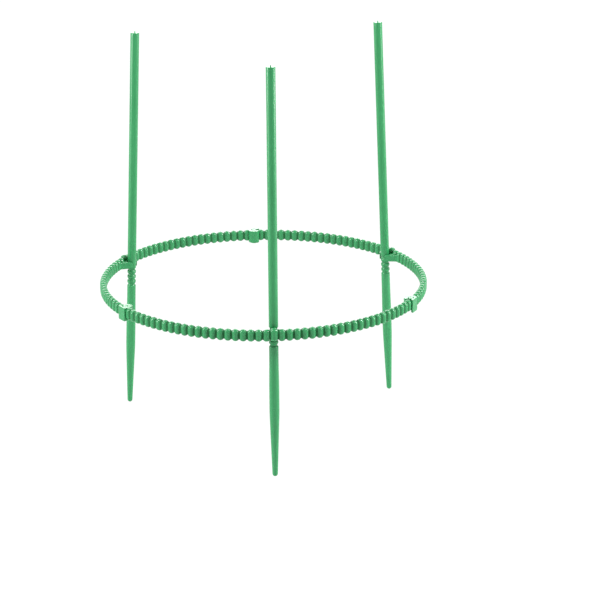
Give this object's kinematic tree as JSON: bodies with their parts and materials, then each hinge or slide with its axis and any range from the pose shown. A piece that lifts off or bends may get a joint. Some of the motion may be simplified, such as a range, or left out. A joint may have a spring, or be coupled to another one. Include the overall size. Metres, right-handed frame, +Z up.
{
  "type": "plant support ring stake",
  "caption": "Beaded green plastic plant support ring of clasped segments, carried level by slim notched stakes that slide between fingers on its inner side.",
  "frame": {"origin": "on the ring's axis, at the level of the lowest stake tip", "axes": "+Z up along the ring's axis, -Y towards the front stake, +X to the right of the front stake"},
  "size_m": [0.247, 0.2484, 0.3086],
  "materials": {
    "ring_plastic": "moulded green plastic, semi-gloss",
    "stake_plastic": "moulded green plastic, semi-gloss"
  },
  "bodies": {
    "front_segment": {"front_ring_segment": "ring_plastic"},
    "left_segment": {"left_ring_segment": "ring_plastic"},
    "right_segment": {"right_ring_segment": "ring_plastic"},
    "front_stake_body": {"front_stake": "stake_plastic"},
    "left_stake_body": {"left_stake": "stake_plastic"},
    "right_stake_body": {"right_stake": "stake_plastic"}
  },
  "joints": [
    {"name": "front_stake_slide", "type": "slide", "parent": "front_segment", "child": "front_stake_body", "axis": [0, 0.0454, 0.999], "range_m": [-0.008, 0.004]},
    {"name": "left_stake_slide", "type": "slide", "parent": "left_segment", "child": "left_stake_body", "axis": [0.0393, -0.0227, 0.999], "range_m": [0, 0.012]},
    {"name": "right_stake_slide", "type": "slide", "parent": "right_segment", "child": "right_stake_body", "axis": [-0.0393, -0.0227, 0.999], "range_m": [-0.004, 0.008]},
    {"name": "left_segment_lift", "type": "slide", "parent": "front_segment", "child": "left_segment", "axis": [0, 0, 1], "range_m": [0, 0.012]},
    {"name": "right_segment_lift", "type": "slide", "parent": "front_segment", "child": "right_segment", "axis": [0, 0, 1], "range_m": [0, 0.012]}
  ]
}
